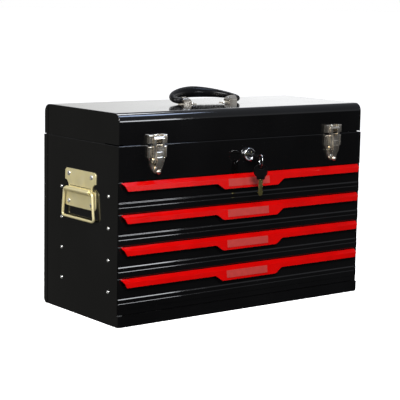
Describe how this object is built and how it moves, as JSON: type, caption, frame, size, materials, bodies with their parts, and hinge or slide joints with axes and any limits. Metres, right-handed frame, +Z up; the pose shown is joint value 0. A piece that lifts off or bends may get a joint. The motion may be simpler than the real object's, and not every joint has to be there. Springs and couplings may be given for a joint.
{
  "type": "portable tool box with drawers",
  "caption": "Portable steel tool box with sliding drawers under a lidded till, draw latches, a cam lock with keys, a folding top handle and a bail on each side.",
  "frame": {"origin": "centre of the underside of the case, on the surface it stands on", "axes": "+X to the right seen from the front, +Y to the hinged back, +Z up"},
  "size_m": [0.5396, 0.2747, 0.3676],
  "materials": {
    "gloss_black": "gloss enamel",
    "tray_black": "satin enamel",
    "till_steel": "zinc-plated steel",
    "liner_foam": "ribbed foam",
    "plated_rivet": "bright plated",
    "zinc_plate": "yellow zinc",
    "chrome_lock": "polished",
    "nickel_latch": "bright nickel",
    "grip_rubber": "soft moulded",
    "key_plastic": "moulded",
    "key_brass": "cut brass",
    "red_enamel": "gloss enamel",
    "blank_label": "blank strip"
  },
  "bodies": {
    "cabinet": {"side_panel_left": "gloss_black", "side_panel_right": "gloss_black", "back_panel": "gloss_black", "base_pan": "gloss_black", "till_front": "gloss_black", "till_floor": "till_steel", "till_liner": "liner_foam", "seal_lip": "gloss_black", "slide_rails": "till_steel", "cabinet_rivets": "plated_rivet", "hinge_leaf_body": "till_steel", "hinge_pin": "plated_rivet", "side_plate_left": "zinc_plate", "side_plate_right": "zinc_plate", "lock_barrel": "chrome_lock", "lock_nut": "nickel_latch", "latch_bases": "nickel_latch"},
    "lid": {"lid_shell": "gloss_black", "lid_ends": "gloss_black", "hinge_leaf_lid": "till_steel", "latch_strikes": "nickel_latch", "lock_catch": "till_steel", "handle_brackets": "nickel_latch", "lid_rivets": "plated_rivet"},
    "top_handle": {"handle_grip": "grip_rubber", "handle_core": "till_steel"},
    "bail_left": {"bail_left": "zinc_plate"},
    "bail_right": {"bail_right": "zinc_plate"},
    "latch_left": {"latch_left_claw": "nickel_latch"},
    "latch_left_lever": {"latch_left_lever": "nickel_latch"},
    "latch_right": {"latch_right_claw": "nickel_latch"},
    "latch_right_lever": {"latch_right_lever": "nickel_latch"},
    "lock_plug": {"lock_plug": "chrome_lock", "lock_cam": "till_steel", "key_blade": "key_brass", "key_head": "key_plastic"},
    "key_ring": {"key_ring": "chrome_lock", "spare_key_blade": "key_brass", "spare_key_head": "key_plastic"},
    "drawer_1": {"drawer_1_front": "gloss_black", "drawer_1_pull": "red_enamel", "drawer_1_label": "blank_label", "drawer_1_tray": "tray_black", "drawer_1_liner": "liner_foam"},
    "drawer_2": {"drawer_2_front": "gloss_black", "drawer_2_pull": "red_enamel", "drawer_2_label": "blank_label", "drawer_2_tray": "tray_black", "drawer_2_liner": "liner_foam"},
    "drawer_3": {"drawer_3_front": "gloss_black", "drawer_3_pull": "red_enamel", "drawer_3_label": "blank_label", "drawer_3_tray": "tray_black", "drawer_3_liner": "liner_foam"},
    "drawer_4": {"drawer_4_front": "gloss_black", "drawer_4_pull": "red_enamel", "drawer_4_label": "blank_label", "drawer_4_tray": "tray_black", "drawer_4_liner": "liner_foam"}
  },
  "joints": [
    {"name": "lid_hinge", "type": "hinge", "parent": "cabinet", "child": "lid", "pos_m": [0, 0.1152, 0.2904], "axis": [-1, 0, 0], "range_deg": [0, 100]},
    {"name": "top_handle_hinge", "type": "hinge", "parent": "lid", "child": "top_handle", "pos_m": [0, 0, 0.3475], "axis": [1, 0, 0], "range_deg": [0, 156]},
    {"name": "bail_left_hinge", "type": "hinge", "parent": "cabinet", "child": "bail_left", "pos_m": [-0.2656, -0.003, 0.208], "axis": [0, 1, 0], "range_deg": [0, 95]},
    {"name": "bail_right_hinge", "type": "hinge", "parent": "cabinet", "child": "bail_right", "pos_m": [0.2656, -0.003, 0.208], "axis": [0, -1, 0], "range_deg": [0, 95]},
    {"name": "drawer_1_slide", "type": "slide", "parent": "cabinet", "child": "drawer_1", "axis": [0, -1, 0], "range_m": [0, 0.15]},
    {"name": "drawer_2_slide", "type": "slide", "parent": "cabinet", "child": "drawer_2", "axis": [0, -1, 0], "range_m": [0, 0.15]},
    {"name": "drawer_3_slide", "type": "slide", "parent": "cabinet", "child": "drawer_3", "axis": [0, -1, 0], "range_m": [0, 0.15]},
    {"name": "drawer_4_slide", "type": "slide", "parent": "cabinet", "child": "drawer_4", "axis": [0, -1, 0], "range_m": [0, 0.15]},
    {"name": "latch_left_swing", "type": "hinge", "parent": "lid", "child": "latch_left", "pos_m": [-0.189, -0.1176, 0.2995], "axis": [-1, 0, 0], "range_deg": [0, 120]},
    {"name": "latch_left_pull", "type": "hinge", "parent": "latch_left", "child": "latch_left_lever", "pos_m": [-0.189, -0.1184, 0.2896], "axis": [-1, 0, 0], "range_deg": [0, 40]},
    {"name": "latch_right_swing", "type": "hinge", "parent": "lid", "child": "latch_right", "pos_m": [0.189, -0.1176, 0.2995], "axis": [-1, 0, 0], "range_deg": [0, 120]},
    {"name": "latch_right_pull", "type": "hinge", "parent": "latch_right", "child": "latch_right_lever", "pos_m": [0.189, -0.1184, 0.2896], "axis": [-1, 0, 0], "range_deg": [0, 40]},
    {"name": "lock_turn", "type": "hinge", "parent": "cabinet", "child": "lock_plug", "pos_m": [0, -0.1, 0.264], "axis": [0, 1, 0], "range_deg": [0, 90]},
    {"name": "key_ring_swing", "type": "hinge", "parent": "lock_plug", "child": "key_ring", "pos_m": [0, -0.1468, 0.264], "axis": [-0.9063, 0.4226, 0], "range_deg": [0, 151]}
  ],
  "couplings": [
    {"joint": "key_ring_swing", "follows": "drawer_1_slide", "rad_per_m": 17.453}
  ]
}
